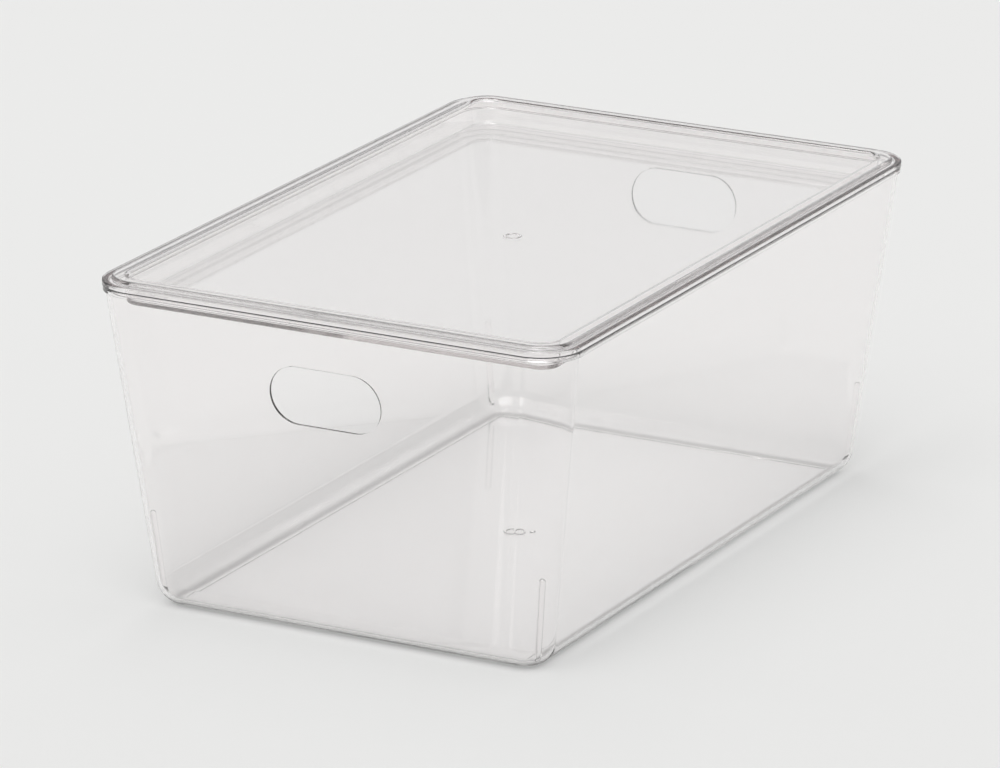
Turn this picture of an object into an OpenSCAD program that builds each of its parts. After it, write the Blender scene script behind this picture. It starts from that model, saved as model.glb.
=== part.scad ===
// Clear storage box: a drafted tub with a hand hole in each end, and a lift-off
// lid with a sunken panel that the next box stands in. Sizes in millimetres.
// Origin at the middle of the underside, X towards a hand hole, Z up.

/* [Overall size] */
// Length over the lid flange, hand hole to hand hole
lid_length = 447; // [300:1:600]
// Width over the lid flange
lid_width = 300; // [200:1:420]
// Height of the tub rim above the table, where the lid rests
tub_height = 190; // [110:1:260]

/* [Tub walls] */
// Wall thickness of the tub, measured level
wall = 2.2; // [1.6:0.1:3]
// Thickness of the tub floor
floor_thickness = 2.5; // [1.8:0.1:4]
// Outward lean of the two ends, degrees
end_draft = 5.3; // [2:0.1:8]
// Outward lean of the two long sides, degrees
side_draft = 7; // [2:0.1:10]
// Outer corner radius where the walls would meet the table
base_corner_radius = 19.5; // [18:0.5:30]
// Outer radius of the curve from the walls into the floor
base_edge_radius = 16.5; // [6:0.5:17]

/* [Tub rim] */
// How far the lid flange stands out past the rim
rim_reveal = 0.4; // [0.2:0.1:1.5]
// Outward step of the rim bead from the wall
rim_bead = 0.9; // [0.5:0.1:2]
// Height of the rim bead
rim_bead_height = 3; // [2:0.1:6]

/* [Hand holes] */
// Width of each hand hole over its round ends
hand_hole_width = 70; // [60:1:110]
// Height of each hand hole
hand_hole_height = 34; // [24:1:45]
// Height of the hand hole centres above the table
hand_hole_level = 145; // [80:1:160]

/* [Corner ribs] */
// Thickness of the upright rib in each corner that stops nested tubs jamming
rib_thickness = 3.6; // [2.4:0.1:6]
// Height of the rib tops above the table
rib_height = 56; // [30:1:90]
// Distance of the rib centre lines from the corner centre lines
rib_reach = 16; // [14:0.1:17]
// Direction of each rib from its corner centre, degrees from the length axis
rib_bearing = 55; // [20:1:70]

/* [Moulding marks] */
// Diameter of the raised gate ring in the middle of the lid panel and the floor
gate_ring_diameter = 11; // [6:0.5:18]
// Width of the gate ring line
gate_ring_line = 1.2; // [0.8:0.1:3]
// Height of the gate marks above the surface
gate_mark_height = 0.35; // [0.2:0.05:0.8]
// Diameter of the small round mark beside the ring on the floor
pin_mark_diameter = 5.5; // [3:0.5:10]
// Distance of the small mark from the ring centre, along the length
pin_mark_along = 5; // [-20:0.5:20]
// Distance of the small mark from the ring centre, across the width
pin_mark_across = -9.5; // [-20:0.5:20]

/* [Lid flange and ridge] */
// Corner radius of the lid flange
lid_corner_radius = 25; // [20:0.5:40]
// Height of the flange edge
flange_height = 3.4; // [2.4:0.1:6]
// Radius of the upper edge of the flange
flange_edge_radius = 1; // [0.4:0.1:2]
// Distance from the lid edge to the raised ridge
ridge_inset = 5.5; // [3:0.5:10]
// Height of the ridge above the tub rim
ridge_height = 5.4; // [4:0.1:9]
// Radius of the outer upper edge of the ridge
ridge_edge_radius = 1.6; // [0.5:0.1:1.8]
// Radius of the inner upper edge of the ridge, above the recess
ridge_inner_radius = 3; // [0.5:0.1:5]
// Distance from the lid edge to the recess, across flange and ridge
border_width = 15; // [12:0.5:25]

/* [Lid recess] */
// Depth of the panel surface below the tub rim
panel_depth = 8.3; // [4:0.1:20]
// Thickness of the panel, the recess wall and the ridge
lid_wall = 2.2; // [1.6:0.1:3]
// Inward lean of the recess wall, degrees
recess_draft = 5; // [1:0.5:10]
// Radius between the recess wall and the panel
recess_edge_radius = 0.8; // [0.5:0.1:6]
// Radius of the lower edge of the tray, under the panel
tray_edge_radius = 1.5; // [0.6:0.1:6]

/* [Lid locating lip] */
// Play between the lip and the tub wall at the rim
lip_clearance = 0.8; // [0.5:0.1:2]
// Depth of the lip below the tub rim
lip_depth = 3; // [2:0.1:6]
// Thickness of the lip
lip_thickness = 2; // [1.4:0.1:3]

/* [Hidden] */
$fn = 96;
corner_steps = 14;
edge_steps = 7;
end_slope = tan(end_draft);
side_slope = tan(side_draft);
// Tub rim and the drafted wall under its bead
rim_length = lid_length - 2 * rim_reveal;
rim_width = lid_width - 2 * rim_reveal;
rim_radius = lid_corner_radius - rim_reveal;
wall_top_length = rim_length - 2 * rim_bead;
wall_top_width = rim_width - 2 * rim_bead;
wall_top_radius = rim_radius - rim_bead;
base_length = wall_top_length - 2 * tub_height * end_slope;
base_width = wall_top_width - 2 * tub_height * side_slope;
radius_slope = (wall_top_radius - base_corner_radius) / tub_height;
// Inside of the tub, which starts on the floor and runs out past the rim
over = 1;
cavity_height = tub_height - floor_thickness + over;
cavity_length = base_length + 2 * (floor_thickness * end_slope - wall);
cavity_width = base_width + 2 * (floor_thickness * side_slope - wall);
cavity_radius = base_corner_radius + floor_thickness * radius_slope - wall;
cavity_edge_radius = base_edge_radius - floor_thickness;
// Levels of the lid above the table
panel_top = tub_height - panel_depth;
panel_under = panel_top - lid_wall;
flange_top = tub_height + flange_height;
ridge_top = tub_height + ridge_height;
// Distances of the lid steps from the lid edge
recess_slope = tan(recess_draft);
recess_height = ridge_top - panel_top;
recess_cut = recess_height + over;
low_inset = border_width + recess_height * recess_slope;
recess_radius = lid_corner_radius - low_inset;
lip_inset = rim_reveal + rim_bead + wall + lip_clearance;

// Upright section of a wall from its corner axis outwards, with a rounded lower edge
module wall_section(r_low, r_high, height, edge) {
  s = (r_high - r_low) / height;
  n = sqrt(1 + s * s);
  axis = r_low + s * edge - edge * n;
  polygon([
    [0, 0], [axis, 0], [axis, edge], [axis + edge / n, edge - edge * s / n],
    [r_high, height], [0, height]
  ]);
  intersection() {
    translate([axis, edge]) circle(r = edge);
    translate([axis, 0]) square(edge);
  }
}

// Solid block with rounded corners. Its walls are one section, the child, turned at the
// corners and drawn straight between them, so that all lean by the same slope.
module swept_block(size, r_low, height) {
  half = [size[0] / 2 - r_low, size[1] / 2 - r_low];
  translate([-half[0], -half[1], 0]) cube([2 * half[0], 2 * half[1], height]);
  for (turn = [0, 180]) rotate([0, 0, turn]) {
    translate([half[0], half[1], 0])
      rotate([90, 0, 0])
        linear_extrude(height = 2 * half[1]) children();
    translate([-half[0], half[1], 0])
      rotate([90, 0, 90])
        linear_extrude(height = 2 * half[0]) children();
    for (side = [0, 1]) mirror([0, side, 0])
      translate([half[0], half[1], 0])
        rotate_extrude(angle = 90) children();
  }
}

// Swept block with leaning walls and a rounded lower edge
module turned_block(size, r_low, height, edge, slope) {
  swept_block(size, r_low, height) wall_section(r_low, r_low + slope * height, height, edge);
}

// Section of the recess, which opens out over the rounded inner edge of the ridge
module recess_section() {
  axis = [
    recess_radius + recess_slope * (recess_height - ridge_inner_radius)
      + ridge_inner_radius * sqrt(1 + recess_slope * recess_slope),
    recess_height - ridge_inner_radius
  ];
  start = axis[1] + ridge_inner_radius * sin(recess_draft);
  wall_section(recess_radius, recess_radius + recess_slope * recess_cut, recess_cut,
    recess_edge_radius);
  difference() {
    translate([0, start]) square([axis[0], recess_cut - start]);
    translate(axis) circle(r = ridge_inner_radius);
  }
}

// Points of a level rounded rectangle
function level_ring(half_x, half_y, r, z) = [
  for (corner = [0:3], step = [0:corner_steps])
    let (
      bearing = 90 * (corner + step / corner_steps),
      x = corner == 0 || corner == 3 ? half_x - r : r - half_x,
      y = corner < 2 ? half_y - r : r - half_y
    )
    [x + r * cos(bearing), y + r * sin(bearing), z]
];

// Loft of a block whose ends and sides lean by different slopes, through level rounded
// rectangles: up the rounded lower edge, then straight to the top
module lofted_block(size, r_low, r_high, height, edge, slope) {
  s = (r_high - r_low) / height;
  foot = function (reach, lean) reach + lean * edge - edge * sqrt(1 + lean * lean);
  turn_end = 90 - atan(max(slope));
  rings = [
    for (k = [0:edge_steps])
      let (turn = turn_end * k / edge_steps)
      level_ring(
        foot(size[0] / 2, slope[0]) + edge * sin(turn),
        foot(size[1] / 2, slope[1]) + edge * sin(turn),
        foot(r_low, s) + edge * sin(turn),
        edge * (1 - cos(turn))),
    level_ring(size[0] / 2 + slope[0] * height, size[1] / 2 + slope[1] * height, r_high, height)
  ];
  n = len(rings[0]);
  last = len(rings) - 1;
  polyhedron(
    points = [for (ring = rings, p = ring) p],
    faces = concat(
      [[for (i = [0:n - 1]) i], [for (i = [n - 1:-1:0]) last * n + i]],
      [for (k = [0:last - 1], i = [0:n - 1])
        let (a = k * n + i, b = k * n + (i + 1) % n) each [[a, a + n, b + n], [a, b + n, b]]]
    )
  );
}

// Flat plate with rounded corners, set in from the lid edge
module inset_plate(inset, low, high) {
  r = lid_corner_radius - inset;
  size = [lid_length - 2 * inset, lid_width - 2 * inset];
  translate([0, 0, low]) {
    translate([-size[0] / 2 + r, -size[1] / 2, 0]) cube([size[0] - 2 * r, size[1], high - low]);
    translate([-size[0] / 2, -size[1] / 2 + r, 0]) cube([size[0], size[1] - 2 * r, high - low]);
    for (x = [-1, 1], y = [-1, 1])
      translate([x * (size[0] / 2 - r), y * (size[1] / 2 - r), 0]) cylinder(r = r, h = high - low);
  }
}

// Plate set in from the lid edge whose upper edge is rounded
module rounded_plate(inset, low, high, edge) {
  r = lid_corner_radius - inset;
  translate([0, 0, high])
    mirror([0, 0, 1])
      turned_block([lid_length - 2 * inset, lid_width - 2 * inset], r, high - low, edge, 0);
}

module hand_hole() {
  r = hand_hole_height / 2;
  straight = hand_hole_width - hand_hole_height;
  translate([0, 0, hand_hole_level]) {
    for (y = [-1, 1])
      translate([0, y * straight / 2, 0])
        rotate([0, 90, 0]) cylinder(r = r, h = lid_length, center = true);
    cube([lid_length, straight, hand_hole_height], center = true);
  }
}

// Round-topped rib standing on the inside of one corner, leaning with the corner
module corner_rib() {
  lean = [end_slope - radius_slope, side_slope - radius_slope];
  start = [
    base_length / 2 - base_corner_radius + rib_reach * cos(rib_bearing),
    base_width / 2 - base_corner_radius + rib_reach * sin(rib_bearing)
  ];
  top = rib_height - rib_thickness / 2;
  tilt = atan(norm(lean));
  translate([start[0], start[1], 0])
    rotate([0, 0, atan2(lean[1], lean[0])])
      rotate([0, tilt, 0]) {
        cylinder(d = rib_thickness, h = top / cos(tilt));
        translate([0, 0, top / cos(tilt)]) sphere(d = rib_thickness);
      }
}

module gate_ring() {
  difference() {
    cylinder(d = gate_ring_diameter, h = gate_mark_height);
    translate([0, 0, -over])
      cylinder(d = gate_ring_diameter - 2 * gate_ring_line, h = gate_mark_height + 2 * over);
  }
}

module tub_outside() {
  lofted_block([base_length, base_width], base_corner_radius, wall_top_radius,
    tub_height, base_edge_radius, [end_slope, side_slope]);
}

module tub_inside() {
  translate([0, 0, floor_thickness])
    lofted_block([cavity_length, cavity_width], cavity_radius,
      cavity_radius + cavity_height * radius_slope,
      cavity_height, cavity_edge_radius, [end_slope, side_slope]);
}

module tub() {
  color([0.9, 0.92, 0.92, 0.35]) {
    difference() {
      union() {
        tub_outside();
        inset_plate(rim_reveal, tub_height - rim_bead_height, tub_height);
      }
      tub_inside();
      hand_hole();
    }
    intersection() {
      tub_outside();
      for (x = [0, 1], y = [0, 1]) mirror([x, 0, 0]) mirror([0, y, 0]) corner_rib();
    }
    translate([0, 0, floor_thickness]) {
      gate_ring();
      translate([pin_mark_along, pin_mark_across])
        cylinder(d = pin_mark_diameter, h = gate_mark_height);
    }
  }
}

module lid() {
  color([0.9, 0.92, 0.92, 0.35]) {
    difference() {
      union() {
        difference() {
          union() {
            rounded_plate(0, tub_height, flange_top, flange_edge_radius);
            rounded_plate(ridge_inset, tub_height, ridge_top, ridge_edge_radius);
          }
          inset_plate(lip_inset, tub_height - over, ridge_top - lid_wall);
        }
        // Lip that centres the lid inside the rim
        difference() {
          inset_plate(lip_inset, tub_height - lip_depth, ridge_top - lid_wall);
          inset_plate(lip_inset + lip_thickness, tub_height - lip_depth - over, ridge_top);
        }
        // Tray under the recess
        translate([0, 0, panel_under])
          turned_block(
            [lid_length - 2 * (low_inset - lid_wall), lid_width - 2 * (low_inset - lid_wall)],
            recess_radius + lid_wall, ridge_top - lid_wall - panel_under,
            tray_edge_radius, recess_slope);
      }
      translate([0, 0, panel_top])
        swept_block([lid_length - 2 * low_inset, lid_width - 2 * low_inset], recess_radius,
          recess_cut) recess_section();
    }
    translate([0, 0, panel_top]) gate_ring();
  }
}

tub();
lid();
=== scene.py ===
"""Clear storage box with a lift-off lid, on a pale studio floor.

The box is two clear mouldings. The tub has leaning walls, a rounded floor edge, a hand hole in
each end, a rib in each corner and a bead round its rim. The lid has a thin flange, a raised
ridge, a sunken panel and a lip underneath that centres it in the tub. Lengths are in
millimetres until they become mesh.
"""

import logging
import math
from dataclasses import dataclass, field
from enum import Enum

import bmesh
import bpy
from mathutils import Matrix, Vector


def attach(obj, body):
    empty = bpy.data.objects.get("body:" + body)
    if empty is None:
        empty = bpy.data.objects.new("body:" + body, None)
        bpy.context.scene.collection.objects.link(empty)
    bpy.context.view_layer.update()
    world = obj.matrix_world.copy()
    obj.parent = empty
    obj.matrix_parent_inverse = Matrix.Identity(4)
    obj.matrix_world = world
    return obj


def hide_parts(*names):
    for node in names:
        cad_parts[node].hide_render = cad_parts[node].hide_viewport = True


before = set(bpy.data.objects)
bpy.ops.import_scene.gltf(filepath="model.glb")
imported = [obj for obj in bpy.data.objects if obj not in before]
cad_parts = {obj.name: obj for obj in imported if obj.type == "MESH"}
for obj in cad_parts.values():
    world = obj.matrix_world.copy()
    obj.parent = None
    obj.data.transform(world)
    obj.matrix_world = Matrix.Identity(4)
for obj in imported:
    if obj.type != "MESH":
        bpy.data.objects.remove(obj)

LOG = logging.getLogger("storage_box")
MM = 0.001
# Sides of the four corners, along the length and across the width
CORNERS = ((-1, -1), (-1, 1), (1, -1), (1, 1))


class Body(Enum):
    """The two mouldings of the box, by the names of their bodies and nodes."""

    TUB = "tub"
    LID = "lid"


class Joining(Enum):
    """Ways of joining a shape to a moulding."""

    CUT = "DIFFERENCE"
    FUSE = "UNION"
    KEEP_COMMON = "INTERSECT"


@dataclass(frozen=True)
class Level:
    """A level rounded rectangle that a moulding's skin passes through."""

    half_x: float
    half_y: float
    radius: float
    z: float


# Materials


def linear(colour: str) -> tuple[float, float, float, float]:
    """Turns an sRGB hex colour to linear.

    Args:
        colour: Six hex digits after a hash sign.

    Returns:
        Linear red, green, blue and an alpha of 1.
    """
    parts = [int(colour[i : i + 2], 16) / 255 for i in (1, 3, 5)]
    red, green, blue = (
        c / 12.92 if c <= 0.04045 else ((c + 0.055) / 1.055) ** 2.4 for c in parts
    )
    return red, green, blue, 1.0


def add_node(
    tree: bpy.types.NodeTree,
    kind: str,
    settings: dict[str, object] | None = None,
    values: dict[str, object] | None = None,
    links: dict[str, bpy.types.NodeSocket] | None = None,
) -> bpy.types.Node:
    """Adds a node with its settings, values and links.

    Args:
        tree: The node tree.
        kind: Blender's name for the node's type.
        settings: The node's own properties.
        values: Values for its input sockets.
        links: Output sockets that feed its input sockets.

    Returns:
        The new node.
    """
    node = tree.nodes.new(kind)
    for name, value in (settings or {}).items():
        setattr(node, name, value)
    for name, value in (values or {}).items():
        node.inputs[name].default_value = value
    for name, source in (links or {}).items():
        tree.links.new(source, node.inputs[name])
    return node


def add_ramp(
    tree: bpy.types.NodeTree,
    source: bpy.types.NodeSocket,
    span: tuple[float, float],
    ends: tuple[float, float],
    smooth: bool = False,
) -> bpy.types.Node:
    """Adds a node that maps a span of one value to a span of another.

    Args:
        tree: The node tree.
        source: Output socket that gives the value.
        span: Values at which the ramp starts and ends.
        ends: What it gives there.
        smooth: Whether it eases in and out.

    Returns:
        The new node.
    """
    names = ("From Min", "From Max", "To Min", "To Max")
    return add_node(
        tree,
        "ShaderNodeMapRange",
        {"interpolation_type": "SMOOTHSTEP" if smooth else "LINEAR"},
        dict(zip(names, (*span, *ends))),
        {"Value": source},
    )


def add_math(
    tree: bpy.types.NodeTree,
    operation: str,
    first: bpy.types.NodeSocket,
    second: bpy.types.NodeSocket | float | None = None,
) -> bpy.types.NodeSocket:
    """Adds a calculation with one or two values.

    Args:
        tree: The node tree.
        operation: Blender's name for the operation.
        first: Output socket that gives the first value.
        second: Output socket or number for the second value.

    Returns:
        The output socket with the result.
    """
    node = add_node(tree, "ShaderNodeMath", {"operation": operation}, links={0: first})
    if isinstance(second, float):
        node.inputs[1].default_value = second
    elif second is not None:
        tree.links.new(second, node.inputs[1])
    return node.outputs["Value"]


@dataclass(frozen=True)
class ClearAcrylic:
    """Clear acrylic, injection moulded in a polished mould.

    The eye sees what is behind it, bright and dark lines where its edges and curves bend
    the light, and a soft shine. The mould's cooling leaves the walls very slightly wavy.
    """

    name: str
    colour: str = "#FFFEFE"
    # Light that the plastic swallows: per metre, the density times what the colour lacks
    depth_colour: str = "#B9A09B"
    depth_density: float = 0.8
    # Lamp light that passes, and lamp light that is turned away
    clear_colour: str = "#FFFFFF"
    lost_colour: str = "#000000"
    # How much a steep face turns away where light meets it square on, and where it grazes
    square_loss: float = 0.055
    grazing_loss: float = 0.6
    # How fast the loss grows towards grazing, as a power
    grazing_power: float = 5.0
    # How much the curved foot turns away, and the height at which that ends
    foot_loss: float = 0.4
    foot_mm: float = 3.0
    ior: float = 1.49
    # Roughness of the clean plastic and of the handling marks, and how wide the marks are
    roughness: float = 0.02
    haze: float = 0.03
    mark_mm: float = 9.0
    # Width of the slow waves that cooling leaves in the walls
    wave_mm: float = 70.0
    wave_depth_mm: float = 0.02

    def material(self) -> bpy.types.Material:
        """Builds the material.

        Returns:
            The finished material.
        """
        mat = bpy.data.materials.new(self.name)
        mat.use_nodes = True
        tree = mat.node_tree
        tree.nodes.clear()
        place = add_node(tree, "ShaderNodeTexCoord")
        waves = add_node(
            tree,
            "ShaderNodeTexNoise",
            values={"Scale": 1 / (self.wave_mm * MM), "Detail": 1.0, "Roughness": 0.4},
            links={"Vector": place.outputs["Object"]},
        )
        relief = add_node(
            tree,
            "ShaderNodeBump",
            values={"Strength": 1.0, "Distance": self.wave_depth_mm * MM},
            links={"Height": waves.outputs["Fac"]},
        )
        # Fine handling marks, a few millimetres across, that the polish shows as faint haze
        marks = add_node(
            tree,
            "ShaderNodeTexNoise",
            values={"Scale": 1 / (self.mark_mm * MM), "Detail": 3.0, "Roughness": 0.6},
            links={"Vector": place.outputs["Object"]},
        )
        shine = add_ramp(tree, marks.outputs["Fac"], (0.35, 0.7), (self.roughness, self.haze))
        shader = add_node(
            tree,
            "ShaderNodeBsdfPrincipled",
            values={
                "Base Color": linear(self.colour),
                "IOR": self.ior,
                "Transmission Weight": 1.0,
            },
            links={"Roughness": shine.outputs["Result"], "Normal": relief.outputs["Normal"]},
        )
        # Lamps and the light that the floor gathers pass straight through, a little dimmed,
        # so that the clear walls cast the faint shadow that clear walls do
        rays = add_node(tree, "ShaderNodeLightPath")
        passing = add_math(
            tree, "MAXIMUM", rays.outputs["Is Shadow Ray"], rays.outputs["Is Diffuse Ray"]
        )
        slant = add_node(tree, "ShaderNodeLayerWeight", values={"Blend": 0.5})
        mirrored = add_math(tree, "POWER", slant.outputs["Facing"], self.grazing_power)
        turned_away = add_ramp(tree, mirrored, (0.0, 1.0), (self.square_loss, self.grazing_loss))
        # A level sheet gives back to the floor what it turns away, and a steep one doesn't
        surface = add_node(tree, "ShaderNodeNewGeometry")
        axes = add_node(
            tree, "ShaderNodeSeparateXYZ", links={"Vector": surface.outputs["Normal"]}
        )
        level = add_math(tree, "ABSOLUTE", axes.outputs["Z"])
        steep = add_ramp(tree, level, (0.5, 0.95), (1.0, 0.0))
        wall_loss = add_math(
            tree, "MULTIPLY", turned_away.outputs["Result"], steep.outputs["Result"]
        )
        # The rounded foot bends light aside like a lens, so it stands on a thin dark line
        height = add_node(tree, "ShaderNodeSeparateXYZ", links={"Vector": place.outputs["Object"]})
        low = add_ramp(
            tree, height.outputs["Z"], (1 * MM, self.foot_mm * MM), (self.foot_loss, 0.0)
        )
        curved = add_ramp(tree, level, (0.985, 0.9995), (1.0, 0.0))
        foot_loss = add_math(tree, "MULTIPLY", low.outputs["Result"], curved.outputs["Result"])
        lost = add_math(tree, "MAXIMUM", wall_loss, foot_loss)
        kept, blocked = (
            add_node(tree, "ShaderNodeBsdfTransparent", values={"Color": linear(colour)})
            for colour in (self.clear_colour, self.lost_colour)
        )
        film = add_node(
            tree,
            "ShaderNodeMixShader",
            links={0: lost, 1: kept.outputs["BSDF"], 2: blocked.outputs["BSDF"]},
        )
        whole = add_node(
            tree,
            "ShaderNodeMixShader",
            links={0: passing, 1: shader.outputs["BSDF"], 2: film.outputs["Shader"]},
        )
        # The plastic swallows a little light along the way, so long paths through it look darker
        depth = add_node(
            tree,
            "ShaderNodeVolumeAbsorption",
            values={"Color": linear(self.depth_colour), "Density": self.depth_density},
        )
        add_node(
            tree,
            "ShaderNodeOutputMaterial",
            links={"Surface": whole.outputs["Shader"], "Volume": depth.outputs["Volume"]},
        )
        return mat


# Meshes


def outline(bm: bmesh.types.BMesh, level: Level, corner_steps: int) -> None:
    """Draws one level rounded rectangle as a face.

    Args:
        bm: The empty mesh to draw in.
        level: Half sizes, corner radius and height.
        corner_steps: Edges in each rounded corner.
    """
    sheet = bmesh.ops.create_grid(bm, x_segments=1, y_segments=1, size=1.0)["verts"]
    bmesh.ops.scale(bm, verts=sheet, vec=(level.half_x * MM, level.half_y * MM, 1.0))
    bmesh.ops.translate(bm, verts=sheet, vec=(0.0, 0.0, level.z * MM))
    bmesh.ops.bevel(
        bm,
        geom=sheet,
        offset=level.radius * MM,
        offset_type="OFFSET",
        segments=corner_steps,
        profile=0.5,
        affect="VERTICES",
        clamp_overlap=False,
        material=-1,
    )


def skin(levels: list[Level], corner_steps: int) -> bmesh.types.BMesh:
    """Draws a closed skin through level outlines, capped at the first and the last.

    Each outline is extruded from the one before it, and its corners are moved and scaled
    to the next outline's corners.

    Args:
        levels: The outlines in order, from one cap over the edge to the other.
        corner_steps: Edges in each rounded corner.

    Returns:
        The closed mesh, with its faces outwards.
    """
    bm = bmesh.new()
    outline(bm, levels[0], corner_steps)
    loop = bm.edges[:]
    for old, new in zip(levels, levels[1:]):
        grown = bmesh.ops.extrude_edge_only(bm, edges=loop)["geom"]
        fresh = [item for item in grown if isinstance(item, bmesh.types.BMVert)]
        loop = [
            item
            for item in grown
            if isinstance(item, bmesh.types.BMEdge) and all(v in fresh for v in item.verts)
        ]
        growth = new.radius / old.radius
        for side_x, side_y in CORNERS:
            corner = [v for v in fresh if v.co.x * side_x > 0 and v.co.y * side_y > 0]
            start, end = (
                Vector(
                    (
                        side_x * (level.half_x - level.radius) * MM,
                        side_y * (level.half_y - level.radius) * MM,
                        level.z * MM,
                    )
                )
                for level in (old, new)
            )
            bmesh.ops.scale(
                bm, verts=corner, vec=(growth, growth, 1.0), space=Matrix.Translation(-start)
            )
            bmesh.ops.translate(bm, verts=corner, vec=end - start)
    bmesh.ops.edgeloop_fill(bm, edges=loop)
    bmesh.ops.recalc_face_normals(bm, faces=bm.faces)
    return bm


def as_object(bm: bmesh.types.BMesh, name: str) -> bpy.types.Object:
    """Turns a mesh to a scene object at the origin and frees the mesh.

    Args:
        bm: The mesh.
        name: Name of the object and its data.

    Returns:
        The object, in the scene.
    """
    mesh = bpy.data.meshes.new(name)
    bm.to_mesh(mesh)
    bm.free()
    piece = bpy.data.objects.new(name, mesh)
    bpy.context.scene.collection.objects.link(piece)
    return piece


def settle(piece: bpy.types.Object) -> None:
    """Applies a piece's modifiers to its mesh.

    Args:
        piece: The piece.
    """
    graph = bpy.context.evaluated_depsgraph_get()
    mesh = bpy.data.meshes.new_from_object(piece.evaluated_get(graph))
    piece.modifiers.clear()
    piece.data = mesh


def join(piece: bpy.types.Object, bm: bmesh.types.BMesh, way: Joining) -> None:
    """Joins a shape to a piece, exactly, and drops the shape.

    Args:
        piece: The piece that stays.
        bm: The shape, which is freed.
        way: Whether the shape is cut out, fused or kept where it's common.
    """
    tool = as_object(bm, "tool")
    step = piece.modifiers.new("join", "BOOLEAN")
    step.operation, step.solver, step.object = way.value, "EXACT", tool
    settle(piece)
    bpy.data.objects.remove(tool)


def polish(piece: bpy.types.Object, sharp_degrees: float = 35.0) -> None:
    """Shades a piece smooth, with its flats flat and its sharp edges sharp.

    Args:
        piece: The piece.
        sharp_degrees: Edges that turn by more than this stay sharp.
    """
    piece.data.shade_smooth()
    piece.data.set_sharp_from_angle(angle=math.radians(sharp_degrees))
    step = piece.modifiers.new("flats", "WEIGHTED_NORMAL")
    step.mode, step.weight, step.keep_sharp = "FACE_AREA", 80, True
    settle(piece)


def gate_ring(radius: float, line: float, height: float, z: float) -> bmesh.types.BMesh:
    """Draws the low raised ring that the mould's gate leaves.

    Args:
        radius: Radius of the ring over its line.
        line: Width of the line.
        height: Height above the surface.
        z: Level of the surface.

    Returns:
        The closed ring, with its lower half in the moulding.
    """
    bm = bmesh.new()
    section = bmesh.ops.create_circle(bm, segments=12, radius=line / 2 * MM)["verts"]
    bmesh.ops.scale(bm, verts=section, vec=(1.0, 2 * height / line, 1.0))
    upright = Matrix.Rotation(math.pi / 2, 3, "X")
    bmesh.ops.rotate(bm, verts=section, cent=(0, 0, 0), matrix=upright)
    bmesh.ops.translate(bm, verts=section, vec=((radius - line / 2) * MM, 0.0, z * MM))
    bmesh.ops.spin(
        bm,
        geom=bm.verts[:] + bm.edges[:],
        cent=(0, 0, 0),
        axis=(0, 0, 1),
        angle=2 * math.pi,
        steps=72,
        use_merge=True,
    )
    bmesh.ops.remove_doubles(bm, verts=bm.verts, dist=1e-7)
    bmesh.ops.recalc_face_normals(bm, faces=bm.faces)
    return bm


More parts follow.
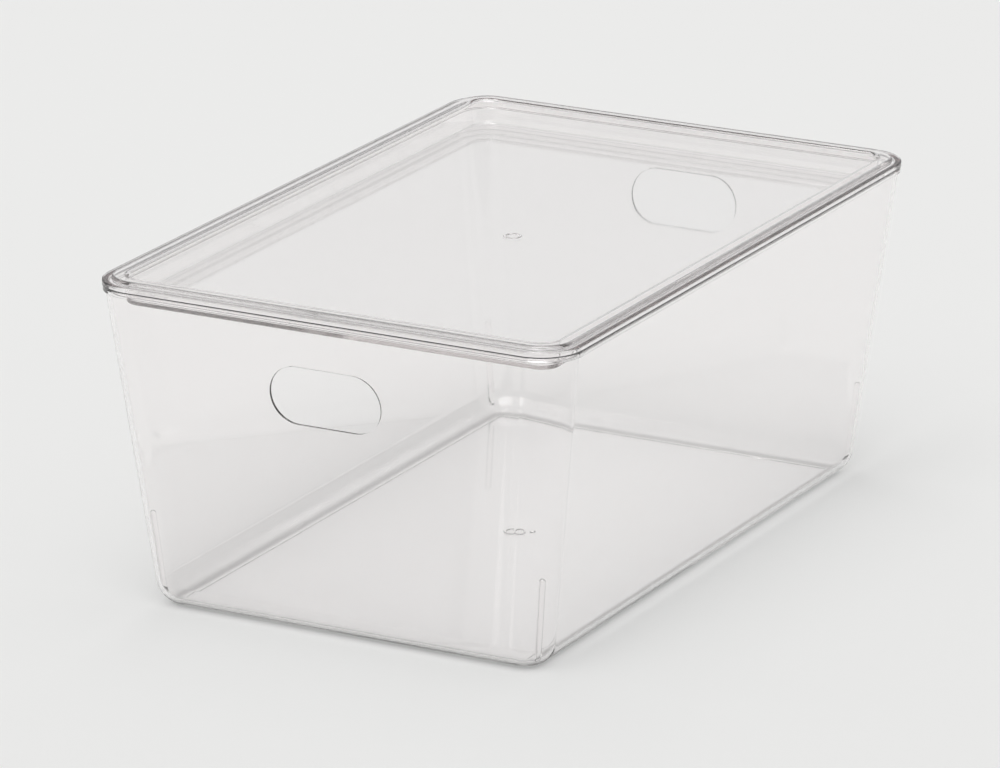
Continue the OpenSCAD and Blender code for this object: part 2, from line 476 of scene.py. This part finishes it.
@dataclass
class Tub:
    """The drafted tub: leaning walls, rounded floor edge, bead, hand holes and corner ribs."""

    finish: ClearAcrylic
    height: float = 190.0
    rim_length: float = 446.2
    rim_width: float = 299.2
    rim_radius: float = 24.6
    bead: float = 0.9
    bead_height: float = 3.0
    # Edge radii: under the bead, on the rim's outside and on its inside
    bead_edge: float = 0.2
    rim_edge: float = 0.45
    rim_inner_edge: float = 0.3
    end_lean: float = 5.3
    side_lean: float = 7.0
    base_corner: float = 19.5
    base_edge: float = 16.5
    # Width of the narrow band that the tub stands on, height of the shallow step inside it,
    # and how far the step slopes and the height it starts from
    stand: float = 1.0
    step: float = 0.5
    step_slope: float = 0.2
    step_edge: float = 0.05
    wall: float = 2.2
    floor: float = 2.5
    hole_width: float = 70.0
    hole_height: float = 34.0
    hole_level: float = 145.0
    hole_edge: float = 0.5
    rib: float = 3.6
    rib_height: float = 56.0
    rib_reach: float = 16.0
    rib_bearing: float = 55.0
    gate_radius: float = 5.5
    gate_line: float = 1.9
    mark_height: float = 0.35
    # The small round mark that an ejector pin leaves: radius, taper, full depth and place
    pin_radius: float = 2.75
    pin_taper: float = 0.6
    pin_depth: float = 3 * 0.35
    pin_place: tuple[float, float] = (5.0, -9.5)
    corner_steps: int = 28
    edge_steps: int = 16
    slopes: tuple[float, float] = field(init=False)
    top_half: tuple[float, float] = field(init=False)
    top_radius: float = field(init=False)
    base_half: tuple[float, float] = field(init=False)
    radius_slope: float = field(init=False)

    def __post_init__(self) -> None:
        """Works out the drafted walls from the rim down, as the moulding does."""
        self.slopes = (
            math.tan(math.radians(self.end_lean)),
            math.tan(math.radians(self.side_lean)),
        )
        self.top_half = (self.rim_length / 2 - self.bead, self.rim_width / 2 - self.bead)
        self.top_radius = self.rim_radius - self.bead
        self.base_half = (
            self.top_half[0] - self.height * self.slopes[0],
            self.top_half[1] - self.height * self.slopes[1],
        )
        self.radius_slope = (self.top_radius - self.base_corner) / self.height

    def wall_at(self, z: float, inset: float = 0.0) -> Level:
        """Gives the outline of the wall at a height.

        Args:
            z: The height.
            inset: How far the surface lies inside the outer one.

        Returns:
            The outline.
        """
        return Level(
            self.base_half[0] + self.slopes[0] * z - inset,
            self.base_half[1] + self.slopes[1] * z - inset,
            self.base_corner + self.radius_slope * z - inset,
            z,
        )

    def foot(self, z: float, inset: float, edge: float) -> list[Level]:
        """Gives the outlines of the rounded edge between a floor and its walls.

        Args:
            z: Level of the floor's surface.
            inset: How far the wall surface lies inside the outer one.
            edge: Radius of the rounded edge.

        Returns:
            The outlines from the floor up.
        """
        start = self.wall_at(z, inset)
        reaches = (
            (start.half_x, self.slopes[0]),
            (start.half_y, self.slopes[1]),
            (start.radius, self.radius_slope),
        )
        axis = [r + s * edge - edge * math.sqrt(1 + s * s) for r, s in reaches]
        end = math.radians(90 - self.side_lean)
        levels = []
        for step in range(self.edge_steps + 1):
            turn = end * step / self.edge_steps
            out = edge * math.sin(turn)
            levels.append(
                Level(axis[0] + out, axis[1] + out, axis[2] + out, z + edge * (1 - math.cos(turn)))
            )
        return levels

    def rim(self) -> list[Level]:
        """Gives the outlines from the outer wall over the bead and the rim to the inner wall.

        Returns:
            The outlines in order.
        """
        bead_low = self.height - self.bead_height

        def bead_at(inset: float, z: float) -> Level:
            """Gives the bead's outline, set in, at a height."""
            return Level(
                self.rim_length / 2 - inset,
                self.rim_width / 2 - inset,
                self.rim_radius - inset,
                z,
            )

        def quarter(steps: int, first: int = 0) -> list[float]:
            """Gives the turns of a quarter round in equal steps, from one of them on."""
            return [math.pi / 2 * step / steps for step in range(first, steps + 1)]

        edge = self.bead_edge
        levels = [self.wall_at(bead_low), bead_at(edge, bead_low)]
        for turn in quarter(3, first=1):
            z = bead_low + edge * (1 - math.cos(turn))
            levels.append(bead_at(edge * (1 - math.sin(turn)), z))
        edge = self.rim_edge
        for turn in quarter(5):
            z = self.height - edge * (1 - math.sin(turn))
            levels.append(bead_at(edge * (1 - math.cos(turn)), z))
        edge = self.rim_inner_edge
        for turn in quarter(3):
            z = self.height - edge * (1 - math.cos(turn))
            levels.append(self.wall_at(z, self.wall + edge * (1 - math.sin(turn))))
        return levels

    def solid(self) -> bmesh.types.BMesh:
        """Draws the tub as one full block, from the table to the rim.

        Returns:
            The closed block.
        """
        levels = self.foot(0.0, 0.0, self.base_edge) + [self.wall_at(self.height)]
        return skin(levels, self.corner_steps)

    def shell(self) -> bmesh.types.BMesh:
        """Draws the tub's shell: up the outside, over the rim and down the inside.

        Returns:
            The closed shell.
        """
        outside = self.foot(0.0, 0.0, self.base_edge)
        base = outside[0]
        step = [
            Level(base.half_x - inset, base.half_y - inset, base.radius - inset, z)
            for inset, z in (
                (self.stand + self.step_slope, self.step),
                (self.stand, self.step_edge),
            )
        ]
        inside = self.foot(self.floor, self.wall, self.base_edge - self.floor)
        return skin(step + outside + self.rim() + inside[::-1], self.corner_steps)

    def hand_hole(self) -> bmesh.types.BMesh:
        """Draws the round-ended bar that cuts both hand holes.

        Returns:
            The closed bar, which reaches past both ends of the tub.
        """
        half = (self.hole_height / 2, self.hole_width / 2)
        # A hair less than half the height, which leaves a short straight edge between corners
        radius = half[0] - 0.02
        reach = self.rim_length * 0.6
        bm = skin([Level(*half, radius, z) for z in (-reach, reach)], self.corner_steps)
        lying = Matrix.Rotation(math.pi / 2, 3, "Y")
        bmesh.ops.rotate(bm, verts=bm.verts, cent=(0, 0, 0), matrix=lying)
        bmesh.ops.translate(bm, verts=bm.verts, vec=(0.0, 0.0, self.hole_level * MM))
        return bm

    def ease_hand_holes(self, piece: bpy.types.Object) -> None:
        """Rounds the edges of both hand holes a little, as the mould does.

        Args:
            piece: The tub with its hand holes cut.
        """
        bm = bmesh.new()
        bm.from_mesh(piece.data)
        # Only the sharp edges within a millimetre of the holes
        sharp = math.radians(50)
        reach_z = self.hole_height / 2 + 1.0
        reach_y = self.hole_width / 2 + 1.0
        edges = [
            edge
            for edge in bm.edges
            if len(edge.link_faces) == 2
            and edge.calc_face_angle(0.0) > sharp
            and all(
                abs(v.co.z - self.hole_level * MM) < reach_z * MM
                and abs(v.co.y) < reach_y * MM
                for v in edge.verts
            )
        ]
        bmesh.ops.bevel(
            bm,
            geom=edges,
            offset=self.hole_edge * MM,
            offset_type="OFFSET",
            segments=3,
            profile=0.5,
            affect="EDGES",
            clamp_overlap=True,
            material=-1,
        )
        bm.to_mesh(piece.data)
        bm.free()

    def corner_rib(self, turn_x: int, turn_y: int) -> bmesh.types.BMesh:
        """Draws one round-topped rib, from the table level up.

        Args:
            turn_x: 1 or -1, the corner's side along the length.
            turn_y: 1 or -1, the corner's side across the width.

        Returns:
            The closed rib.
        """
        lean = Vector((self.slopes[0] - self.radius_slope, self.slopes[1] - self.radius_slope, 1.0))
        bearing = math.radians(self.rib_bearing)
        start = Vector(
            (
                self.base_half[0] - self.base_corner + self.rib_reach * math.cos(bearing),
                self.base_half[1] - self.base_corner + self.rib_reach * math.sin(bearing),
                0.0,
            )
        )
        top = start + lean * (self.rib_height - self.rib / 2)
        bm = bmesh.new()
        bmesh.ops.create_uvsphere(bm, u_segments=32, v_segments=16, radius=self.rib / 2 * MM)
        lower = [v for v in bm.verts if v.co.z < -1e-6]
        bmesh.ops.translate(bm, verts=lower, vec=(0.0, 0.0, -(top - start).length * MM))
        turn = Vector((0, 0, 1)).rotation_difference(lean.normalized()).to_matrix()
        bmesh.ops.rotate(bm, verts=bm.verts, cent=(0, 0, 0), matrix=turn)
        bmesh.ops.translate(bm, verts=bm.verts, vec=top * MM)
        bmesh.ops.scale(bm, verts=bm.verts, vec=(turn_x, turn_y, 1.0))
        bmesh.ops.recalc_face_normals(bm, faces=bm.faces)
        return bm

    def pin_mark(self) -> bmesh.types.BMesh:
        """Draws the small round mark beside the gate ring.

        Returns:
            The closed mark, with its lower half in the floor.
        """
        bm = bmesh.new()
        bmesh.ops.create_cone(
            bm,
            cap_ends=True,
            segments=40,
            radius1=self.pin_radius * MM,
            radius2=(self.pin_radius - self.pin_taper) * MM,
            depth=self.pin_depth * MM,
        )
        place = (self.pin_place[0] * MM, self.pin_place[1] * MM, self.floor * MM)
        bmesh.ops.translate(bm, verts=bm.verts, vec=place)
        return bm

    def build(self) -> bpy.types.Object:
        """Builds the finished tub.

        Returns:
            The tub's object, which stands for the CAD node.
        """
        piece = as_object(self.shell(), "clear_tub")
        join(piece, self.hand_hole(), Joining.CUT)
        self.ease_hand_holes(piece)
        for turn_x, turn_y in CORNERS:
            rib = as_object(self.corner_rib(turn_x, turn_y), "rib")
            join(rib, self.solid(), Joining.KEEP_COMMON)
            shape = bmesh.new()
            shape.from_mesh(rib.data)
            bpy.data.objects.remove(rib)
            join(piece, shape, Joining.FUSE)
        ring = gate_ring(self.gate_radius, self.gate_line, self.mark_height, self.floor)
        join(piece, ring, Joining.FUSE)
        join(piece, self.pin_mark(), Joining.FUSE)
        polish(piece)
        piece.data.materials.clear()
        piece.data.materials.append(self.finish.material())
        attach(piece, Body.TUB.value)
        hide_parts(Body.TUB.value)
        return piece


@dataclass
class Lid:
    """The lift-off lid: flange, ridge, sunken panel and the lip that centres it."""

    finish: ClearAcrylic
    length: float = 447.0
    width: float = 300.0
    corner: float = 25.0
    seat: float = 190.0
    flange_height: float = 3.4
    flange_edge: float = 1.0
    ridge_inset: float = 5.5
    ridge_height: float = 5.4
    ridge_edge: float = 1.6
    ridge_inner_edge: float = 3.0
    border: float = 15.0
    panel_depth: float = 8.3
    wall: float = 2.2
    recess_lean: float = 5.0
    recess_edge: float = 0.8
    tray_edge: float = 1.5
    lip_inset: float = 4.3
    lip_depth: float = 3.0
    lip: float = 2.0
    small_edge: float = 0.35
    gate_radius: float = 5.5
    gate_line: float = 1.9
    mark_height: float = 0.35
    corner_steps: int = 28

    def arc(
        self, inset: float, z: float, radius: float, start: float, end: float, steps: int
    ) -> list[tuple[float, float]]:
        """Gives points of a rounded edge in the lid's section.

        Args:
            inset: Distance of the arc's centre from the lid edge.
            z: Level of the arc's centre.
            radius: Radius of the arc.
            start: First bearing in degrees, 0 towards the lid edge and 90 up.
            end: Last bearing.
            steps: Number of chords.

        Returns:
            Pairs of inset and level.
        """
        points = []
        for step in range(steps + 1):
            turn = math.radians(start + (end - start) * step / steps)
            points.append((inset - radius * math.cos(turn), z + radius * math.sin(turn)))
        return points

    def section(self) -> list[tuple[float, float]]:
        """Gives the lid's section, from the panel over the ridge and flange to the underside.

        Returns:
            Pairs of inset and level.
        """
        slope = math.tan(math.radians(self.recess_lean))
        lean = self.recess_lean
        panel = self.seat - self.panel_depth
        top = self.seat + self.ridge_height
        flange = self.seat + self.flange_height
        low = self.border + (top - panel) * slope
        tight = self.small_edge
        # Axis of the rounded edge between the panel and the recess wall
        hollow = low + self.recess_edge * (math.sqrt(1 + slope * slope) - slope)
        points = self.arc(hollow, panel + self.recess_edge, self.recess_edge, -90, -lean, 8)
        soft = self.ridge_inner_edge
        inner = self.border + soft * (slope - math.sqrt(1 + slope * slope))
        points += self.arc(inner, top - soft, soft, 180 - lean, 90, 12)
        outer = self.ridge_inset + self.ridge_edge
        points += self.arc(outer, top - self.ridge_edge, self.ridge_edge, 90, 0, 8)
        points += self.arc(self.ridge_inset - tight, flange + tight, tight, 180, 270, 3)
        edge = self.flange_edge
        points += self.arc(edge, flange - edge, edge, 90, 0, 6)
        points += self.arc(tight, self.seat + tight, tight, 0, -90, 4)
        return points

    def underside(self) -> list[tuple[float, float]]:
        """Gives the section of the underside, from the rim seat to the panel.

        Returns:
            Pairs of inset and level.
        """
        slope = math.tan(math.radians(self.recess_lean))
        top = self.seat + self.ridge_height
        panel_under = self.seat - self.panel_depth - self.wall
        roof = top - self.wall
        tight = self.small_edge
        end = self.seat - self.lip_depth
        points = [(self.lip_inset, self.seat)]
        points += self.arc(self.lip_inset + tight, end + tight, tight, 0, -90, 3)
        inner = self.lip_inset + self.lip
        points += self.arc(inner - tight, end + tight, tight, 270, 180, 3)
        points += self.arc(inner + 2 * tight, roof - 2 * tight, 2 * tight, 0, 90, 4)
        low = self.border + (top - (self.seat - self.panel_depth)) * slope - self.wall
        high = low - (roof - panel_under) * slope
        points += [(high - tight, roof), (high, roof - tight)]
        radius = self.tray_edge
        hollow = low + radius * (math.sqrt(1 + slope * slope) - slope)
        points += self.arc(hollow, panel_under + radius, radius, -self.recess_lean, -90, 8)
        return points

    def build(self) -> bpy.types.Object:
        """Builds the finished lid.

        Returns:
            The lid's object, which stands for the CAD node.
        """
        levels = [
            Level(self.length / 2 - inset, self.width / 2 - inset, self.corner - inset, z)
            for inset, z in self.section() + self.underside()
        ]
        piece = as_object(skin(levels, self.corner_steps), "clear_lid")
        panel = self.seat - self.panel_depth
        ring = gate_ring(self.gate_radius, self.gate_line, self.mark_height, panel)
        join(piece, ring, Joining.FUSE)
        polish(piece)
        piece.data.materials.clear()
        piece.data.materials.append(self.finish.material())
        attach(piece, Body.LID.value)
        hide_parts(Body.LID.value)
        return piece


# Studio


@dataclass
class Studio:
    """Pale floor, soft light all round and the camera."""

    floor_colour: str = "#EFEFEE"
    floor_size: float = 14.0
    # The floor lies just under the base, so that the two surfaces don't share one plane
    floor_drop_mm: float = 0.25
    # Light from the backdrop, from overhead, from the rest of the room and from near the
    # horizon, and the direction of the backdrop
    backdrop: float = 0.92
    overhead: float = 0.75
    room: float = 0.37
    horizon: float = 0.18
    backdrop_side: tuple[float, float, float] = (0.79, 0.43, 0.44)
    # The wide key light with its angle in degrees, and the small lamp with its width
    key_strength: float = 1.5
    key_width: float = 50.0
    key_side: tuple[float, float, float] = (-2.4, -0.4, 3.8)
    glint_power: float = 3.0
    glint_size: float = 0.5
    glint_place: tuple[float, float, float] = (0.9, 0.7, 2.4)
    # Camera, from the lines of the photographed box
    azimuth: float = -61.484
    elevation: float = 17.895
    roll: float = -0.267
    distance: float = 4.0386
    slide: tuple[float, float] = (-0.00765, 0.08796)
    lens_mm: float = 249.67
    # Light that enters the edge of the lid's panel is mirrored along inside it many times
    bounces: int = 128

    def floor(self) -> None:
        """Lays the pale floor."""
        mat = bpy.data.materials.new("matt_white_floor_paper")
        mat.use_nodes = True
        tree = mat.node_tree
        tree.nodes.clear()
        shader = add_node(
            tree,
            "ShaderNodeBsdfPrincipled",
            values={
                "Base Color": linear(self.floor_colour),
                "Roughness": 1.0,
                "Specular IOR Level": 0.0,
            },
        )
        add_node(tree, "ShaderNodeOutputMaterial", links={"Surface": shader.outputs["BSDF"]})
        bm = bmesh.new()
        bmesh.ops.create_grid(bm, x_segments=1, y_segments=1, size=self.floor_size / 2)
        bmesh.ops.translate(bm, verts=bm.verts, vec=(0, 0, -self.floor_drop_mm * MM))
        plane = as_object(bm, "floor")
        plane.data.materials.append(mat)

    def sky(self) -> None:
        """Lights the scene from all round, brightest behind the box, dimmest at the horizon."""
        world = bpy.data.worlds.new("soft_studio")
        bpy.context.scene.world = world
        world.use_nodes = True
        tree = world.node_tree
        tree.nodes.clear()
        place = add_node(tree, "ShaderNodeTexCoord")
        facing = add_node(
            tree,
            "ShaderNodeVectorMath",
            {"operation": "DOT_PRODUCT"},
            links={0: place.outputs["Generated"]},
        )
        facing.inputs[1].default_value = self.backdrop_side
        around = add_ramp(
            tree, facing.outputs["Value"], (0.7, 0.95), (self.room, self.backdrop), smooth=True
        )
        axes = add_node(
            tree, "ShaderNodeSeparateXYZ", links={"Vector": place.outputs["Generated"]}
        )
        # From the dim horizon up to the backdrop and the room, and from those up to overhead
        level = add_ramp(
            tree, axes.outputs["Z"], (0.05, 0.25), (self.horizon, 1.0), smooth=True
        )
        tree.links.new(around.outputs["Result"], level.inputs["To Max"])
        whole = add_ramp(
            tree, axes.outputs["Z"], (0.4, 0.8), (0.0, self.overhead), smooth=True
        )
        tree.links.new(level.outputs["Result"], whole.inputs["To Min"])
        light = add_node(
            tree, "ShaderNodeBackground", links={"Strength": whole.outputs["Result"]}
        )
        add_node(tree, "ShaderNodeOutputWorld", links={"Surface": light.outputs["Background"]})

    def lamps(self) -> None:
        """Hangs the wide soft key light, and a small one that draws the highlights."""
        key = bpy.data.lights.new("wide_softbox", "SUN")
        key.energy, key.angle = self.key_strength, math.radians(self.key_width)
        glint = bpy.data.lights.new("small_softbox", "AREA")
        glint.shape, glint.size, glint.energy = "SQUARE", self.glint_size, self.glint_power
        for data, place in ((key, self.key_side), (glint, self.glint_place)):
            lamp = bpy.data.objects.new(data.name, data)
            lamp.location = place
            lamp.rotation_euler = Vector(place).to_track_quat("Z", "Y").to_euler()
            bpy.context.scene.collection.objects.link(lamp)

    def camera(self) -> None:
        """Sets the camera at the photograph's place and angle."""
        a, e, r = (math.radians(x) for x in (self.azimuth, self.elevation, self.roll))
        back = Vector((math.sin(a) * math.cos(e), -math.cos(a) * math.cos(e), math.sin(e)))
        right = Vector((math.cos(a), math.sin(a), 0.0))
        up = back.cross(right)
        place = back * self.distance + right * self.slide[0] + up * self.slide[1]
        right, up = (
            right * math.cos(r) + up * math.sin(r),
            up * math.cos(r) - right * math.sin(r),
        )
        data = bpy.data.cameras.new("camera")
        data.lens, data.sensor_width = self.lens_mm, 36.0
        data.clip_start, data.clip_end = 0.05, 60.0
        eye = bpy.data.objects.new("camera", data)
        turn = Matrix((right, up, back)).transposed().to_4x4()
        eye.matrix_world = Matrix.Translation(place) @ turn
        bpy.context.scene.collection.objects.link(eye)
        bpy.context.scene.camera = eye

    def build(self) -> None:
        """Sets up the floor, light and camera."""
        self.floor()
        self.sky()
        self.lamps()
        self.camera()
        scene = bpy.context.scene
        scene.view_settings.view_transform = "Standard"
        scene.cycles.max_bounces = self.bounces
        scene.cycles.transmission_bounces = self.bounces
        scene.cycles.glossy_bounces = self.bounces


def main() -> None:
    """Builds the box and the studio and reports each piece."""
    logging.basicConfig(level=logging.INFO, format="%(name)s: %(message)s")
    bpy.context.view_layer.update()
    Studio().build()
    clear = ClearAcrylic("clear_moulded_acrylic")
    for piece in (Tub(clear).build(), Lid(clear).build()):
        LOG.info("%s: %d faces", piece.name, len(piece.data.polygons))


if __name__ == "__main__":
    main()
